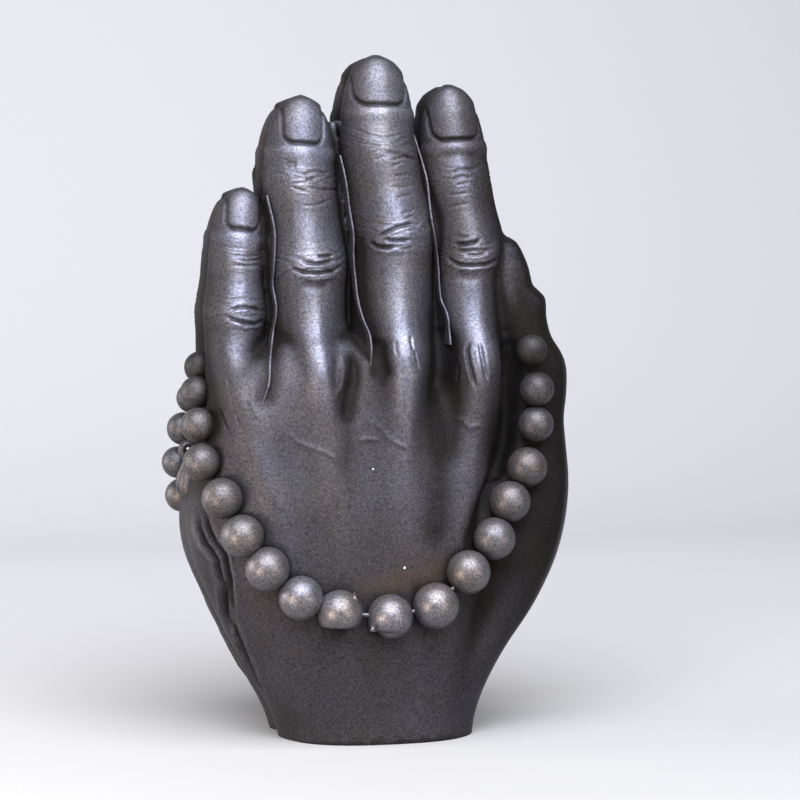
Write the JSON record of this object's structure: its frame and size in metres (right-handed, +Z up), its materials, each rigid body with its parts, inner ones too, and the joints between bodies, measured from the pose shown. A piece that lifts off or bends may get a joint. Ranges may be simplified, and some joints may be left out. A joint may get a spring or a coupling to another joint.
{
  "type": "praying hands statue",
  "caption": "Small cast figure of two hands held palm to palm with a string of round beads draped round them, standing on its flat-cut wrists.",
  "frame": {"origin": "middle of the flat base under the wrists, on the plane where the palms meet", "axes": "+Z up the fingers, +X towards the thumbs, +Y from the near hand to the far hand, which mirror each other across y = 0"},
  "size_m": [0.0726, 0.05, 0.1229],
  "materials": {
    "graphite_cast": "satin graphite paint with a fine grain, over a cast body"
  },
  "bodies": {
    "root": {"praying_hands": "graphite_cast"}
  },
  "joints": []
}
